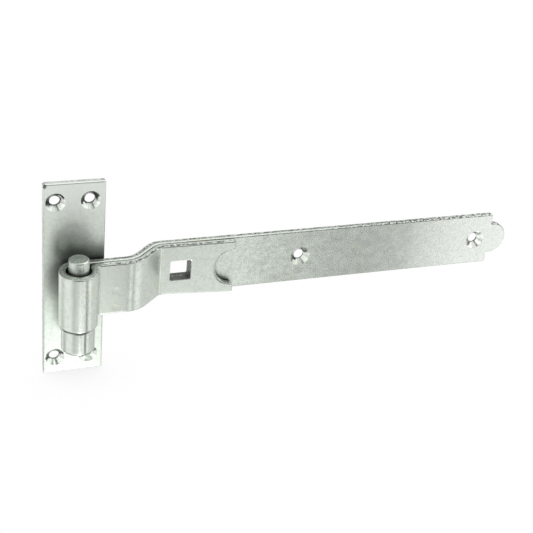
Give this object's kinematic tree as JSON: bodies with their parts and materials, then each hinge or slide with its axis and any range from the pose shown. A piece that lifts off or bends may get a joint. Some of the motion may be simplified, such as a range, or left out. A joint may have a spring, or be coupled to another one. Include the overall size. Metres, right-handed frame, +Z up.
{
  "type": "hook and band gate hinge",
  "caption": "Cranked lift-off gate hinge: a screwed back plate carries an upright pin, and a folded strap with a rolled eye swings on it.",
  "frame": {"origin": "on the plate's back face, straight behind the pin axis and level with the lower edge of the strap's eye", "axes": "+X runs from the pin along the strap, +Y points into the post and the gate, +Z runs up the pin"},
  "size_m": [0.318, 0.0386, 0.127],
  "materials": {
    "zinc_plate": "bright zinc plated, satin",
    "zinc_boss": "bright zinc plated over a turned face",
    "zinc_pin": "bright zinc plated over a turned bar",
    "zinc_strap": "bright zinc plated over rolled flat bar, lightly scratched",
    "weld": "zinc plated over weld metal, dull"
  },
  "bodies": {
    "hook": {"mounting_plate": "zinc_plate", "pin_boss": "zinc_boss", "boss_weld": "weld", "hinge_pin": "zinc_pin"},
    "band": {"strap": "zinc_strap", "spot_welds": "weld"}
  },
  "joints": [
    {"name": "band_swing", "type": "hinge", "parent": "hook", "child": "band", "pos_m": [0, -0.0175, 0.018], "axis": [0, 0, -1], "range_deg": [0, 180]}
  ]
}
